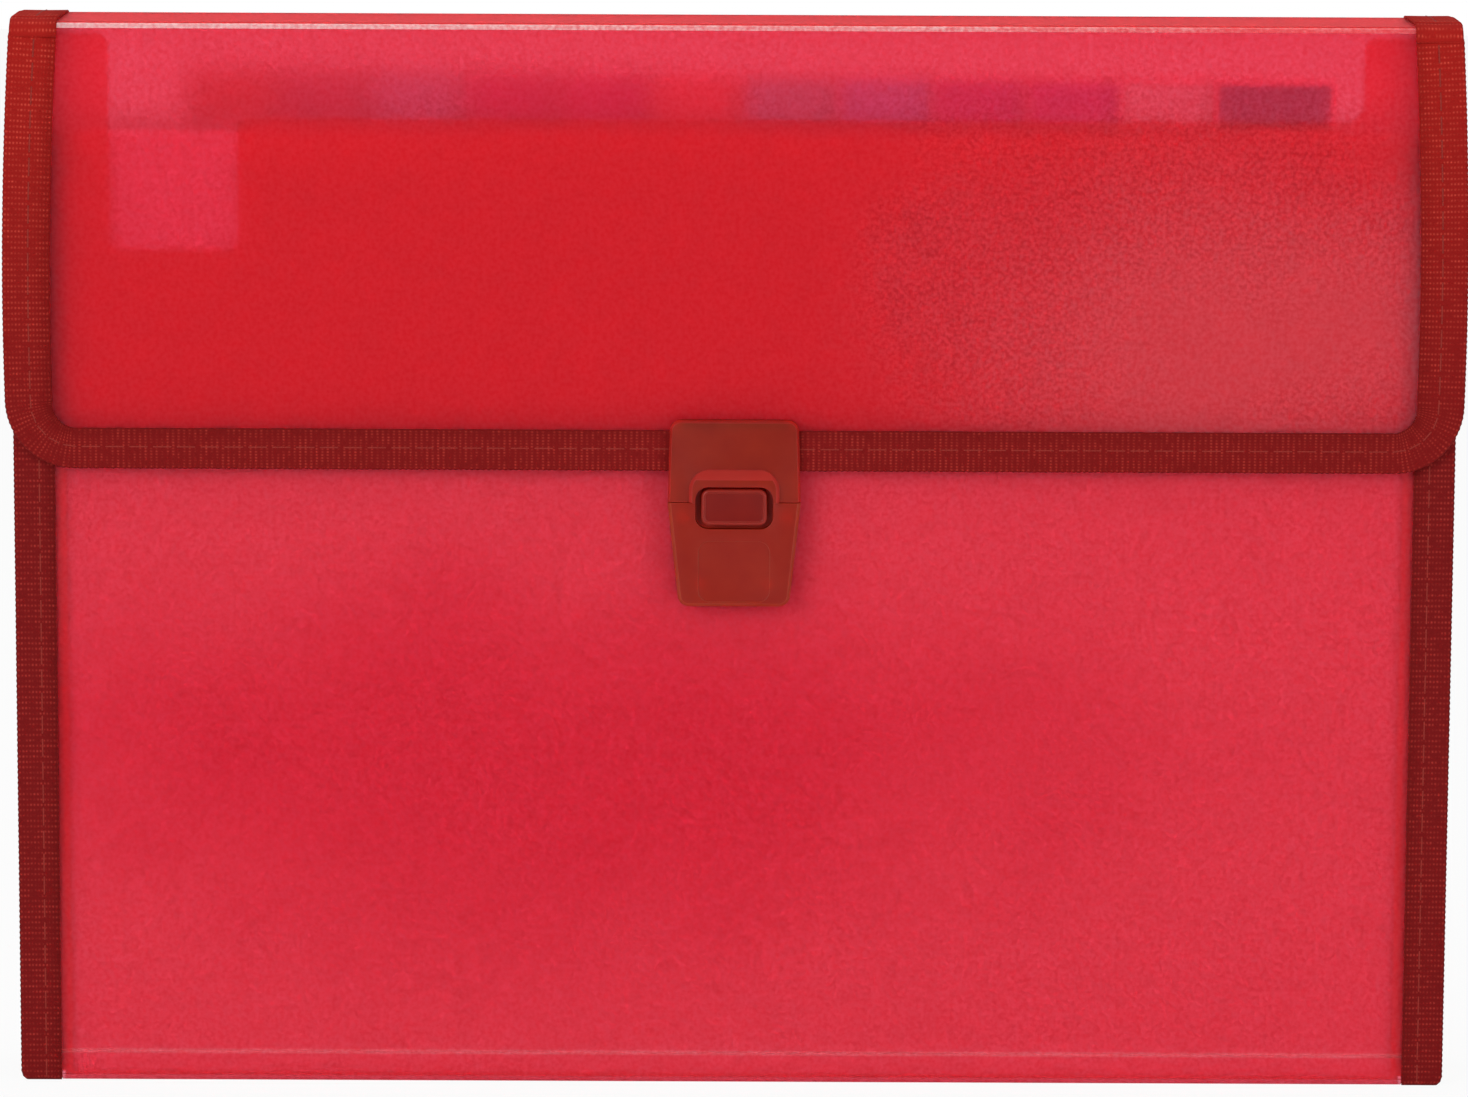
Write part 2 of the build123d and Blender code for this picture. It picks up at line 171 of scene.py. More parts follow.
bpy.ops.object.select_all(action="DESELECT")
bpy.ops.mesh.primitive_plane_add(size=1.0, location=(0, 0, 0))
paper = bpy.context.object
paper.name = "studio_paper"
paper.scale = (paper_side, paper_side, 1.0)
bpy.ops.object.transform_apply(location=True, rotation=True, scale=True)
paper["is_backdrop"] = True

material, tree = new_material("matt white paper")
whiter = add_node(
    tree, "ShaderNodeMath", {0: seen_directly(tree), 1: paper_whitening}, operation="MULTIPLY"
)
matt = add_node(tree, "ShaderNodeBsdfDiffuse", {"Color": linear("#f2f2f2")})
white = add_node(tree, "ShaderNodeEmission", {"Color": (1, 1, 1, 1), "Strength": 1.0})
mixed = add_node(
    tree, "ShaderNodeMixShader", {0: whiter.outputs[0], 1: matt.outputs[0], 2: white.outputs[0]}
)
add_node(tree, "ShaderNodeOutputMaterial", {"Surface": mixed.outputs[0]})
paper.data.materials.append(material)
print("paper side in m:", paper_side)

# %% White surroundings
light_from_around = 0.3
white_from_around = 1.0

world = bpy.data.worlds.new("studio")
bpy.context.scene.world = world
world.use_nodes = True
tree = world.node_tree
tree.nodes.clear()
strength = add_node(
    tree,
    "ShaderNodeMapRange",
    {"Value": seen_directly(tree), "To Min": light_from_around, "To Max": white_from_around},
)
background = add_node(
    tree, "ShaderNodeBackground", {"Color": (1, 1, 1, 1), "Strength": strength.outputs[0]}
)
add_node(tree, "ShaderNodeOutputWorld", {"Surface": background.outputs[0]})
bpy.context.scene.view_settings.view_transform = "Standard"
print("view transform:", bpy.context.scene.view_settings.view_transform)


# %% Soft boxes
lamps_aim = (0, 0, 0.12)


def soft_box(name, place, width, height, watts):
    """A large rectangular lamp that faces the middle of the file."""
    bpy.ops.object.light_add(type="AREA", location=place)
    lamp = bpy.context.object
    lamp.name = name
    lamp.data.shape = "RECTANGLE"
    lamp.data.size = width
    lamp.data.size_y = height
    lamp.data.energy = watts
    lamp.rotation_euler = (Vector(lamps_aim) - Vector(place)).to_track_quat("-Z", "Y").to_euler()


soft_box("top_box", (0, 0.15, 1.25), width=1.4, height=0.9, watts=5.9)
soft_box("left_box", (-0.95, -1.5, 0.75), width=0.9, height=0.9, watts=13.9)
soft_box("right_box", (1.15, -1.35, 0.30), width=0.8, height=1.0, watts=9.4)

# %% [markdown]
# ## Frosted polypropylene
# The sheets are extruded polypropylene with a fine frosting rolled into both faces. Light goes
# through, but leaves in a wide cone, so things close behind stay readable and things further
# back blur. A shader can do just that: nearly full transmission with a high roughness. Red dye
# takes green and blue away at each pass, so doubled sheets look deeper. The flap and the front
# each get a soft oval of another tint, broken up by a slow noise: on the flap a pale painted
# reflection of the right soft box, on the front a deeper red painted shade inside and a paler
# painted light around it. The crease's oval is at its left end, a painted highlight fading along
# it.
# %% Where the painted light and shade show
cloud_mm = 55.0
cloud_weight = 1.3
grain_weight = 0.9
light_and_shade_edge = (1.4, 2.6)


def light_and_shade_patch(tree, place, grain, centre_mm, reach_mm):
    """Painted light and shade mask: zero inside a soft, mottled oval seen from the front, one
    outside.
    """
    reach = [per_metre(side) for side in reach_mm]
    oval = add_node(
        tree,
        "ShaderNodeMapping",
        {
            "Vector": place,
            "Location": (-centre_mm[0] * mm * reach[0], 0, -centre_mm[1] * mm * reach[1]),
            "Scale": (reach[0], 0, reach[1]),
        },
    )
    away = add_node(tree, "ShaderNodeVectorMath", {0: oval.outputs[0]}, operation="LENGTH")
    cloud = add_node(
        tree, "ShaderNodeTexNoise", {"Vector": place, "Scale": per_metre(cloud_mm), "Detail": 3.0}
    )
    drift = add_node(
        tree,
        "ShaderNodeMath",
        {0: cloud.outputs["Fac"], 1: cloud_weight, 2: away.outputs["Value"]},
        operation="MULTIPLY_ADD",
    )
    mottled = add_node(
        tree,
        "ShaderNodeMath",
        {0: grain, 1: grain_weight, 2: drift.outputs[0]},
        operation="MULTIPLY_ADD",
    )
    patch = add_node(
        tree,
        "ShaderNodeMapRange",
        {"Value": mottled.outputs[0], "From Min": light_and_shade_edge[0], "From Max": light_and_shade_edge[1]},
        interpolation_type="SMOOTHSTEP",
    )
    return patch.outputs[0]


print("haze clouds in mm:", cloud_mm)

# %% [markdown]
# ## The score line
# Polypropylene whitens where it is scored and bent, and the front sheet is scored just above
# its foot, where the groove also catches a line of light. A groove that shallow hardly changes
# the outline, so the pale line is drawn by height: part whitening, part painted highlight.
# %% Where the plastic is scored
score_z_mm = 7.0
score_edge_mm = (0.3, 0.7)


def score_line(tree, place, scored):
    """How pale the line is, whitening and painted highlight: as much as scored on it, zero off it.
    """
    height = add_node(tree, "ShaderNodeSeparateXYZ", {"Vector": place}).outputs["Z"]
    from_score = add_node(
        tree, "ShaderNodeMath", {0: height, 1: score_z_mm * mm}, operation="SUBTRACT"
    )
    off_score = add_node(tree, "ShaderNodeMath", {0: from_score.outputs[0]}, operation="ABSOLUTE")
    whitening_and_highlight = add_node(
        tree,
        "ShaderNodeMapRange",
        {
            "Value": off_score.outputs[0],
            "From Min": score_edge_mm[0] * mm,
            "From Max": score_edge_mm[1] * mm,
            "To Min": scored,
            "To Max": 0.0,
        },
    )
    return whitening_and_highlight.outputs[0]


print("score line in mm above the foot:", score_z_mm)

# %% [markdown]
# ## The frosted sheet
# Both patterns meet in one material. The frosting is a fine noise that dims the tint in specks,
# roughens the gloss and stands up as a slight bump. It is drawn at 1 mm, about four times its
# real size, so that it shows.
# %% Frosted polypropylene
frost_grain_mm = 1.0
score_whitening_and_highlight_tint = "#ffd0d4"
speck_tint = "#f0a0aa"
speck_edge = (0.35, 0.65)
speck_strength = 0.7


def frosted(
    name, inner, outer, clear, rough,
    centre_mm=(0, 0), reach_mm=(150, 120), bend=1.2, shine=0.3, scored=0.0,
):
    """Tints and clearness in and out of the painted light and shade oval; roughness between the
    specks.
    """
    material, tree = new_material(name)
    place = add_node(tree, "ShaderNodeTexCoord").outputs["Object"]
    grain = add_node(
        tree,
        "ShaderNodeTexNoise",
        {"Vector": place, "Scale": per_metre(frost_grain_mm), "Detail": 2.0},
    ).outputs["Fac"]
    patch = light_and_shade_patch(tree, place, grain, centre_mm, reach_mm)
    plain = add_node(
        tree,
        "ShaderNodeMix",
        {"Factor": patch, "A": linear(inner), "B": linear(outer)},
        data_type="RGBA",
    )
    tint_with_score_line = add_node(
        tree,
        "ShaderNodeMix",
        {
            "Factor": score_line(tree, place, scored),
            "A": plain.outputs["Result"],
            "B": linear(score_whitening_and_highlight_tint),
        },
        data_type="RGBA",
    )
    speckle = add_node(
        tree,
        "ShaderNodeMapRange",
        {
            "Value": grain,
            "From Min": speck_edge[0],
            "From Max": speck_edge[1],
            "To Max": speck_strength,
        },
    )
    tint = add_node(
        tree,
        "ShaderNodeMix",
        {
            "Factor": speckle.outputs[0],
            "A": tint_with_score_line.outputs["Result"],
            "B": linear(speck_tint),
        },
        data_type="RGBA",
        blend_type="MULTIPLY",
    )
    clearness = add_node(
        tree,
        "ShaderNodeMapRange",
        {"Value": patch, "To Min": clear[0], "To Max": clear[1]},
    )
    gloss = add_node(
        tree,
        "ShaderNodeMapRange",
        {"Value": grain, "To Min": rough[0], "To Max": rough[1]},
    )
    bump = add_node(
        tree,
        "ShaderNodeBump",
        {"Height": grain, "Strength": 0.4, "Distance": 0.05 * mm},
    )
    surface = add_node(
        tree,
        "ShaderNodeBsdfPrincipled",
        {
            "Base Color": tint.outputs["Result"],
            "Roughness": gloss.outputs[0],
            "Normal": bump.outputs[0],
            "Transmission Weight": clearness.outputs[0],
            "IOR": bend,
            "Specular IOR Level": shine,
        },
    )
    add_node(tree, "ShaderNodeOutputMaterial", {"Surface": surface.outputs[0]})
    return material


# %% Each sheet's own finish
cover_gloss = (0.62, 0.74)
cover_finish = frosted(
    "frosted red polypropylene", "#f08a9c", "#f096a4", clear=(0.97, 0.97), rough=cover_gloss
)
# The flap's pale oval, high on its right, is a painted reflection of the right soft box.
flap_finish = frosted(
    "frosted red polypropylene flap", "#ffaaba", "#ff8ca6",
    clear=(0.91, 0.97), rough=cover_gloss, centre_mm=(117, 172), reach_mm=(75, 45),
)
# The front's deeper red oval is painted shade, and the paler tint around it painted light.
front_finish = frosted(
    "frosted red polypropylene front", "#f97c98", "#fe90a4",
    clear=(0.98, 0.94), rough=cover_gloss, centre_mm=(-50, 75), reach_mm=(120, 42), scored=0.85,
)
strip_finish = frosted(
    "frosted red polypropylene strip", "#ff6c76", "#ff747c", clear=(0.9, 0.9), rough=(0.5, 0.6)
)
# The crease's near-white tint, strongest at its left end, is a painted highlight.
crease_highlight_finish = frosted(
    "creased red polypropylene highlight", "#fff4f2", "#ff7880",
    clear=(0.5, 0.6), rough=(0.16, 0.26), centre_mm=(-150, 243), reach_mm=(205, 4000),
    bend=1.49, shine=1.0,
)
divider_finish = frosted(
    "natural polypropylene film", "#f0eaee", "#f2ecf0",
    clear=(0.45, 0.45), rough=(0.45, 0.55), bend=1.3,
)
pocket_finish = frosted(
    "thin red polypropylene film", "#ff707c", "#ff8890", clear=(0.75, 0.75), rough=(0.35, 0.5)
)


def dress(node_name, material):
    """Gives a CAD node that stays in view its finish."""
    slots = nodes[node_name].data.materials
    slots.clear()
    slots.append(material)


sheet_finishes = {
    "back_panel": cover_finish,
    "base_panel": cover_finish,
    "top_strip": strip_finish,
    "flap_sheet": flap_finish,
    "front_panel": front_finish,
}
for node_name, finish in sheet_finishes.items():
    dress(node_name, finish)
divider_names = sorted(name for name in nodes if name.startswith("divider_"))
for node_name in divider_names:
    dress(node_name, divider_finish)
print("sheets:", len(sheet_finishes), "dividers:", len(divider_names))

# %% [markdown]
# ## Woven tape, thread, mouldings and labels
# The binding is polyester grosgrain: thick cords run across it, and thin threads run along it
# over the cords, so it shows ribs with a fine grain and scatters light softly. The clasp is
# injection moulded from a see-through resin, with a faint haze. The labels are printed card,
# and their inks are paler and bluer than they look from the front, through the red flap.
# The ribs repeat every 1.25 mm and the threads every 0.8 mm, coarser than the real 0.3 mm so
# that they show at this distance. Over the lid's top the tape gets a lighter tint, a painted
# highlight for the light from above, and this fades down the flap's sides.
# %% Ribbed tape
rib_pitch_mm = 1.25
yarn_pitch_mm = 0.8
rib_sharpness = 2.5
fluff_mm = 1.6
fade_mm = (150, 243)


def wave_scale(period_mm):
    """A wave texture repeats every 0.314 of its scaled space, so this gives a real period."""
    return math.pi / 10 / (period_mm * mm)


def woven_tape(name, low, high):
    """Ribbed tape: ground and crest tints, low and high on the lid; crests and top painted
    highlight.
    """
    material, tree = new_material(name)
    along = add_node(tree, "ShaderNodeUVMap", uv_map="tape").outputs["UV"]
    place = add_node(tree, "ShaderNodeTexCoord").outputs["Object"]
    ribs = add_node(
        tree,
        "ShaderNodeTexWave",
        {"Vector": along, "Scale": wave_scale(rib_pitch_mm)},
        bands_direction="X",
    )
    yarns = add_node(
        tree,
        "ShaderNodeTexWave",
        {"Vector": along, "Scale": wave_scale(yarn_pitch_mm), "Distortion": 0.6, "Detail": 1.0},
        bands_direction="Y",
    )
    crests = add_node(
        tree, "ShaderNodeMath", {0: ribs.outputs["Fac"], 1: rib_sharpness}, operation="POWER"
    )
    weave = add_node(
        tree,
        "ShaderNodeMath",
        {0: crests.outputs[0], 1: yarns.outputs["Fac"]},
        operation="MULTIPLY",
    )
    fluff_and_highlight_noise = add_node(
        tree, "ShaderNodeTexNoise", {"Vector": place, "Scale": per_metre(fluff_mm), "Detail": 4.0}
    )
    fluff_and_highlight = add_node(
        tree,
        "ShaderNodeMapRange",
        {"Value": fluff_and_highlight_noise.outputs["Fac"], "From Min": 0.35, "From Max": 0.65},
    )
    # The lit crests are a painted highlight on the ribs, broken up at random.
    lit = add_node(
        tree, "ShaderNodeMath", {0: weave.outputs[0], 1: fluff_and_highlight.outputs[0]}, operation="MULTIPLY"
    )
    # Lighter towards the lid's top: painted light from above.
    height = add_node(tree, "ShaderNodeSeparateXYZ", {"Vector": place}).outputs["Z"]
    raised = add_node(
        tree,
        "ShaderNodeMapRange",
        {"Value": height, "From Min": fade_mm[0] * mm, "From Max": fade_mm[1] * mm},
    )
    ground, crest = (
        add_node(
            tree,
            "ShaderNodeMix",
            {"Factor": raised.outputs[0], "A": linear(low[part]), "B": linear(high[part])},
            data_type="RGBA",
        )
        for part in (0, 1)
    )
    tint = add_node(
        tree,
        "ShaderNodeMix",
        {"Factor": lit.outputs[0], "A": ground.outputs["Result"], "B": crest.outputs["Result"]},
        data_type="RGBA",
    )
    bump = add_node(
        tree,
        "ShaderNodeBump",
        {"Height": weave.outputs[0], "Strength": 0.6, "Distance": 0.12 * mm},
    )
    surface = add_node(
        tree,
        "ShaderNodeBsdfPrincipled",
        {
            "Base Color": tint.outputs["Result"],
            "Roughness": 0.85,
            "Normal": bump.outputs[0],
            "Specular IOR Level": 0.15,
            "Sheen Weight": 0.12,
            "Sheen Roughness": 0.4,
            "Sheen Tint": linear("#e05a4a"),
        },
    )
    add_node(tree, "ShaderNodeOutputMaterial", {"Surface": surface.outputs[0]})
    return material


# The top-lit tints over the lid's top and corners are a painted highlight.
lower_tape = ("#7c0e0e", "#b2362c")
top_lit_tape = ("#a41812", "#d84a3a")
panel_tape = ("#760e0f", "#ac342c")
lid_tape_finish = woven_tape("woven polyester grosgrain lid", lower_tape, top_lit_tape)
corner_tape_finish = woven_tape(
    "woven polyester grosgrain corners", top_lit_tape, top_lit_tape
)
panel_tape_finish = woven_tape("woven polyester grosgrain panel", panel_tape, panel_tape)
print("ribs every", rib_pitch_mm, "mm, wave scale", round(wave_scale(rib_pitch_mm)))

# %% Sewing thread
thread_ply_mm = 0.4


def sewing_thread():
    """Matt thread, a little brighter than the tape, with its plies as a fine noise."""
    material, tree = new_material("twisted polyester thread")
    place = add_node(tree, "ShaderNodeTexCoord").outputs["Object"]
    twist = add_node(
        tree,
        "ShaderNodeTexNoise",
        {"Vector": place, "Scale": per_metre(thread_ply_mm), "Detail": 1.0},
    )
    tint = add_node(
        tree,
        "ShaderNodeMix",
        {"Factor": twist.outputs["Fac"], "A": linear("#902220"), "B": linear("#b23a2c")},
        data_type="RGBA",
    )
    surface = add_node(
        tree,
        "ShaderNodeBsdfPrincipled",
        {"Base Color": tint.outputs["Result"], "Roughness": 0.6, "Specular IOR Level": 0.3},
    )
    add_node(tree, "ShaderNodeOutputMaterial", {"Surface": surface.outputs[0]})
    return material


thread_finish = sewing_thread()
print("thread:", thread_finish.name)

# %% Moulded resin
flow_mm = 6.0
satin_mm = 0.25


def moulded(name, dark, light, clear, roughness):
    """Injection-moulded see-through resin with faint flow clouds and a fine satin texture."""
    material, tree = new_material(name)
    place = add_node(tree, "ShaderNodeTexCoord").outputs["Object"]
    flow = add_node(
        tree, "ShaderNodeTexNoise", {"Vector": place, "Scale": per_metre(flow_mm), "Detail": 2.0}
    )
    tint = add_node(
        tree,
        "ShaderNodeMix",
        {"Factor": flow.outputs["Fac"], "A": linear(dark), "B": linear(light)},
        data_type="RGBA",
    )
    satin = add_node(
        tree, "ShaderNodeTexNoise", {"Vector": place, "Scale": per_metre(satin_mm), "Detail": 1.0}
    )
    bump = add_node(
        tree,
        "ShaderNodeBump",
        {"Height": satin.outputs["Fac"], "Strength": 0.25, "Distance": 0.02 * mm},
    )
    surface = add_node(
        tree,
        "ShaderNodeBsdfPrincipled",
        {
            "Base Color": tint.outputs["Result"],
            "Roughness": roughness,
            "Normal": bump.outputs[0],
            "Transmission Weight": clear,
            "IOR": 1.4,
            "Specular IOR Level": 0.16,
        },
    )
    add_node(tree, "ShaderNodeOutputMaterial", {"Surface": surface.outputs[0]})
    return material


hasp_finish = moulded("moulded clear red resin hasp", "#b42006", "#c8340e", 0.6, 0.34)
# The catch is tinted lighter than the hasp: painted light for the bright sheets shining through
# it.
catch_finish = moulded("moulded clear red resin catch", "#d0200c", "#e43412", 0.6, 0.34)
button_finish = moulded("moulded clear red resin button", "#901006", "#a81a0c", 0.45, 0.34)
# The edge finishes are lighter tints for the rounds and forward slopes: painted highlight.
hasp_highlight_finish = moulded("moulded clear red resin hasp highlight", "#e0342a", "#f0483c", 0.6, 0.3)
catch_highlight_finish = moulded("moulded clear red resin catch highlight", "#e8401e", "#f66040", 0.6, 0.3)
button_highlight_finish = moulded(
    "moulded clear red resin button highlight", "#cc342a", "#de4636", 0.6, 0.3
)
print("flow clouds in mm:", flow_mm, "satin in mm:", satin_mm)

# %% Spring steel
rolled_stretch = (40.0, 900.0, 900.0)
rolled_lines = 6.0


def spring_steel():
    """Bright strip steel, its gloss broken by the fine lines that rolling leaves along X."""
    material, tree = new_material("rolled spring steel")
    place = add_node(tree, "ShaderNodeTexCoord").outputs["Object"]
    drawn = add_node(tree, "ShaderNodeMapping", {"Vector": place, "Scale": rolled_stretch})
    lines = add_node(
        tree, "ShaderNodeTexNoise", {"Vector": drawn.outputs[0], "Scale": rolled_lines}
    )
    gloss = add_node(
        tree, "ShaderNodeMapRange", {"Value": lines.outputs["Fac"], "To Min": 0.22, "To Max": 0.38}
    )
    surface = add_node(
        tree,
        "ShaderNodeBsdfPrincipled",
        {"Base Color": linear("#b8b6b2"), "Metallic": 1.0, "Roughness": gloss.outputs[0]},
    )
    add_node(tree, "ShaderNodeOutputMaterial", {"Surface": surface.outputs[0]})
    return material


steel_finish = spring_steel()
dress("button_spring", steel_finish)
print("spring:", steel_finish.name)

# %% Index card
card_fibre = "#e9dcd6"
pulp_mm = 0.8


def card(name, colour):
    """Coated index card: one flat tint with pale paper fibres showing through the ink."""
    material, tree = new_material(name)
    place = add_node(tree, "ShaderNodeTexCoord").outputs["Object"]
    pulp = add_node(
        tree, "ShaderNodeTexNoise", {"Vector": place, "Scale": per_metre(pulp_mm), "Detail": 4.0}
    )
    show = add_node(
        tree,
        "ShaderNodeMapRange",
        {"Value": pulp.outputs["Fac"], "From Min": 0.55, "To Max": 0.35},
    )
    tint = add_node(
        tree,
        "ShaderNodeMix",
        {"Factor": show.outputs[0], "A": linear(colour), "B": linear(card_fibre)},
        data_type="RGBA",
    )
    bump = add_node(
        tree,
        "ShaderNodeBump",
        {"Height": pulp.outputs["Fac"], "Strength": 0.2, "Distance": 0.02 * mm},
    )
    surface = add_node(
        tree,
        "ShaderNodeBsdfPrincipled",
        {
            "Base Color": tint.outputs["Result"],
            "Roughness": 0.55,
            "Normal": bump.outputs[0],
            "Specular IOR Level": 0.3,
        },
    )
    add_node(tree, "ShaderNodeOutputMaterial", {"Surface": surface.outputs[0]})
    return material


card_colours = {
    "maroon": "#cc8088", "grey": "#bc98b4", "blue": "#bcf0ff", "magenta": "#c062b5",
    "rose": "#cc9098", "teal": "#aee7ed", "azure": "#add7ff", "purple": "#b379c4",
    "green": "#bfedda", "slate": "#9095ad",
}
card_finishes = {
    name: card(name + " index card", tint) for name, tint in card_colours.items()
}
card_order = ["maroon", "grey", "blue", "magenta", "magenta", "rose"]
card_order += ["teal", "azure", "purple", "purple", "green", "slate"]
for number, colour in enumerate(card_order, start=1):
    dress(f"tab_label_{number:02d}", card_finishes[colour])
print("labels:", len(card_order), "materials:", len(bpy.data.materials))


# %% [markdown]
# ## Helpers for modelling
# Everything below is modelled as by hand: add a simple shape, open it in edit mode, pick some
# points by where they are, and extrude, spin or scale them. These helpers do the picking and
# the closing, and put a finished piece where it belongs with its object back at the origin.
# %% Picking, finishing and placing
touch_mm = 0.01


def only(piece):
    """Selects one object and nothing else."""
    bpy.ops.object.select_all(action="DESELECT")
    piece.select_set(True)
    bpy.context.view_layer.objects.active = piece


def pick(piece, wanted):
    """In edit mode, selects the points for which wanted(place) is true, and nothing else."""
    bpy.ops.mesh.select_all(action="DESELECT")
    bpy.ops.object.mode_set(mode="OBJECT")
    for vertex in piece.data.vertices:
        vertex.select = wanted(vertex.co)
    bpy.ops.object.mode_set(mode="EDIT")


def add_modifier(piece, kind, **settings):
    """Adds a modifier with its settings and applies it."""
    only(piece)
    made = piece.modifiers.new(kind.lower(), kind)
    for name, value in settings.items():
        setattr(made, name, value)
    bpy.ops.object.modifier_apply(modifier=made.name)


def settle(piece, matrix):
    """Puts a piece in place and moves that place into its mesh."""
    only(piece)
    piece.matrix_world = matrix
    bpy.ops.object.transform_apply(location=True, rotation=True, scale=True)


def axes(x_goes, y_goes, z_goes, origin_mm):
    """The matrix that sends each local axis the way given, from an origin in millimetres."""
    turn = Matrix((x_goes, y_goes, z_goes)).transposed().to_4x4()
    return Matrix.Translation(Vector(origin_mm) * mm) @ turn


print("points closer than", touch_mm, "mm count as one")

# %% [markdown]
# ## The folded binding
# The tape is one long ribbon folded lengthwise over the sheet's edge and sewn through. Sweeping
# a U along the edge would give the fold but lose the ribs. So one rib is modelled: a U of
# points, extruded twice, with the middle row swollen. An Array modifier repeats it, and for the
# flap a Curve modifier bends the row round the drawn outline. The points under the seam are
# drawn in a little, as thread does. The texture coordinates hold real metres along and across.
# %% One rib of binding
sheet_half = 0.4
fold_points = 12
tape_thick = 0.46
tape_middle = 0.65
seam_from_fold = 5.6
rib_swell = 0.14
seam_pull = 0.93


def folded_wire(width):
    """A U of edges in Y and Z: the fold at Y = 0 and two layers that reach to the width."""
    bpy.ops.object.select_all(action="DESELECT")
    bpy.ops.mesh.primitive_circle_add(
        vertices=fold_points,
        radius=tape_middle * mm,
        location=(0, tape_middle * mm, 0),
        rotation=(0, math.pi / 2, 0),
    )
    wire = bpy.context.object
    bpy.ops.object.transform_apply(location=True, rotation=True, scale=True)
    bpy.ops.object.mode_set(mode="EDIT")
    pick(wire, lambda place: place.y > (tape_middle + touch_mm) * mm)
    bpy.ops.mesh.delete(type="VERT")
    for reach in (seam_from_fold, width):
        bpy.ops.object.mode_set(mode="OBJECT")
        furthest = max(vertex.co.y for vertex in wire.data.vertices)
        bpy.ops.object.mode_set(mode="EDIT")
        pick(wire, lambda place: place.y > furthest - touch_mm * mm)
        bpy.ops.mesh.extrude_region_move(
            TRANSFORM_OT_translate={"value": (0, reach * mm - furthest, 0)}
        )
        pull = seam_pull if reach == seam_from_fold else 1 / seam_pull
        bpy.ops.transform.resize(value=(1, 1, pull), center_override=(0, 0, 0))
    bpy.ops.object.mode_set(mode="OBJECT")
    return wire


def swell(width, at):
    """Scales the picked points out from the inner edge, so that they stand up as a rib."""
    bpy.ops.transform.resize(
        value=(1, 1 + rib_swell / width, 1 + rib_swell / tape_middle),
        center_override=(at, width * mm, 0),
    )


def one_rib(width, pitch):
    """A single rib of folded binding, one pitch long in X."""
    rib = folded_wire(width)
    bpy.ops.object.mode_set(mode="EDIT")
    bpy.ops.mesh.select_all(action="SELECT")
    bpy.ops.mesh.extrude_region_move(TRANSFORM_OT_translate={"value": (pitch / 2, 0, 0)})
    swell(width, pitch / 2)
    bpy.ops.mesh.extrude_region_move(TRANSFORM_OT_translate={"value": (pitch / 2, 0, 0)})
    bpy.ops.transform.resize(
        value=(1, 1 / (1 + rib_swell / width), 1 / (1 + rib_swell / tape_middle)),
        center_override=(pitch, width * mm, 0),
    )
    bpy.ops.object.mode_set(mode="OBJECT")
    layer = rib.data.uv_layers.new(name="tape")
    for loop in rib.data.loops:
        place = rib.data.vertices[loop.vertex_index].co
        layer.data[loop.index].uv = (place.x, place.y)
    return rib


# %% One stitch
stitch_pitch = 5.4
stitch_length = 4.2
stitch_radius = 0.19
stitch_rise = 0.05
stitch_rounding = 0.09
stitch_sides = 8


def one_stitch():
    """A short straight thread on each face of the tape, with its ends rounded off."""
    bpy.ops.object.select_all(action="DESELECT")
    bpy.ops.mesh.primitive_cylinder_add(
        vertices=stitch_sides,
        radius=stitch_radius * mm,
        depth=stitch_length * mm,
        location=(stitch_pitch / 2 * mm, seam_from_fold * mm, 0),
        rotation=(0, math.pi / 2, 0),
    )
    stitch = bpy.context.object
    bpy.ops.object.transform_apply(location=True, rotation=True, scale=True)
    bpy.ops.object.mode_set(mode="EDIT")
    bpy.ops.mesh.select_all(action="SELECT")
    bpy.ops.mesh.bevel(offset=stitch_rounding * mm, segments=2)
    bpy.ops.mesh.select_all(action="SELECT")
    top = (tape_middle * seam_pull + tape_thick / 2 + stitch_rise) * mm
    bpy.ops.transform.translate(value=(0, 0, top))
    bpy.ops.mesh.duplicate_move(TRANSFORM_OT_translate={"value": (0, 0, -2 * top)})
    bpy.ops.object.mode_set(mode="OBJECT")
    return stitch


print("stitches every", stitch_pitch, "mm, each", stitch_length, "mm long")


# %% Repeat along an edge
def run_along(piece, count, pitch, path=None):
    """Repeats a unit along X, and bends the row along a drawn path."""
    add_modifier(
        piece,
        "ARRAY",
        count=count,
        use_relative_offset=False,
        use_constant_offset=True,
        constant_offset_displace=(pitch, 0, 0),
        use_merge_vertices=True,
        merge_threshold=touch_mm * mm,
        offset_u=pitch,
    )
    if path is not None:
        add_modifier(piece, "CURVE", object=path, deform_axis="POS_X")


def binding(name, width, length, matrix, finish, path=None):
    """Folded, ribbed and stitched tape of a given length in metres, put in place."""
    ribs = round(length / (rib_pitch_mm * mm))
    tape = one_rib(width, length / ribs)
    tape.name = name
    run_along(tape, ribs, length / ribs, path)
    add_modifier(tape, "SOLIDIFY", thickness=tape_thick * mm, offset=0.0)
    stitches = round(length / (stitch_pitch * mm))
    seam = one_stitch()
    run_along(seam, stitches, length / stitches, path)
    tape.data.materials.append(finish)
    seam.data.materials.append(thread_finish)
    bpy.ops.object.select_all(action="DESELECT")
    seam.select_set(True)
    tape.select_set(True)
    bpy.context.view_layer.objects.active = tape
    bpy.ops.object.join()
    bpy.ops.object.shade_smooth()
    settle(tape, matrix)
    print(name, "ribs", ribs, "stitches", stitches, "faces", len(tape.data.polygons))
    return tape


